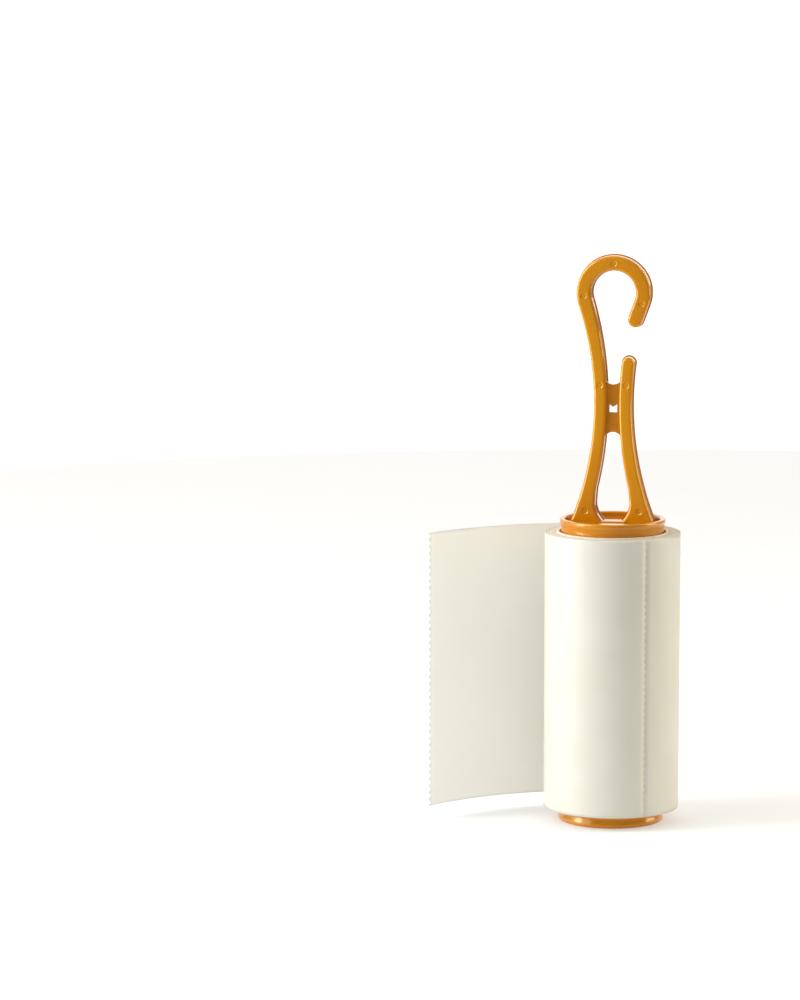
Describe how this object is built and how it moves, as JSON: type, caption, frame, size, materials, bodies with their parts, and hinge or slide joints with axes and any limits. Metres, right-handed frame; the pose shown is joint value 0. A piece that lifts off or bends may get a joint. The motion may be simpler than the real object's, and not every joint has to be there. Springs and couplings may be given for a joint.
{
  "type": "lint roller",
  "caption": "Hand lint roller: orange hook handle with a snap-in axle, two end hubs, and a core wound with sticky paper sheets, the outer one partly peeled.",
  "frame": {"origin": "on the spin axis, in the plane that the bottom hub's lip stands on", "axes": "+Z along the axle, up to the hook; the legs lie in the XZ plane, the hook opens to +X, and -Y is the front face"},
  "size_m": [0.0895, 0.0489, 0.2048],
  "materials": {
    "orange_plastic": "glossy moulded, opaque amber orange",
    "hub_plastic": "glossy moulded, opaque amber orange",
    "core_card": "matt white-lined card",
    "wound_paper": "matt cut edges of wound sheets",
    "sticky_paper": "adhesive-coated, softly glossy",
    "sheet_back": "smooth, faintly see-through"
  },
  "bodies": {
    "handle": {"handle": "orange_plastic"},
    "prong_left": {"snap_prong_left": "orange_plastic"},
    "prong_right": {"snap_prong_right": "orange_plastic"},
    "reel": {"hub_top": "hub_plastic", "hub_bottom": "hub_plastic"},
    "refill": {"core_tube": "core_card", "adhesive_roll": "wound_paper", "second_sheet": "sticky_paper", "outer_sheet": "sticky_paper"},
    "flap": {"free_sheet": "sheet_back"}
  },
  "joints": [
    {"name": "roll_spin", "type": "hinge", "parent": "handle", "child": "reel", "pos_m": [0, 0, 0.055], "axis": [0, 0, 1], "continuous": true},
    {"name": "refill_slide", "type": "slide", "parent": "reel", "child": "refill", "axis": [0, 0, -1], "range_m": [0, 0.112]},
    {"name": "sheet_peel", "type": "hinge", "parent": "refill", "child": "flap", "pos_m": [-0.00646, 0.02386, 0.055], "axis": [0, 0, 1], "range_deg": [-75, 8]},
    {"name": "snap_left", "type": "hinge", "parent": "handle", "child": "prong_left", "pos_m": [-0.0029, 0, 0.022], "axis": [0, -1, 0], "range_deg": [0, 3.5], "stiffness_Nm_per_rad": 1.5},
    {"name": "snap_right", "type": "hinge", "parent": "handle", "child": "prong_right", "pos_m": [0.0029, 0, 0.022], "axis": [0, 1, 0], "range_deg": [0, 3.5], "stiffness_Nm_per_rad": 1.5}
  ]
}
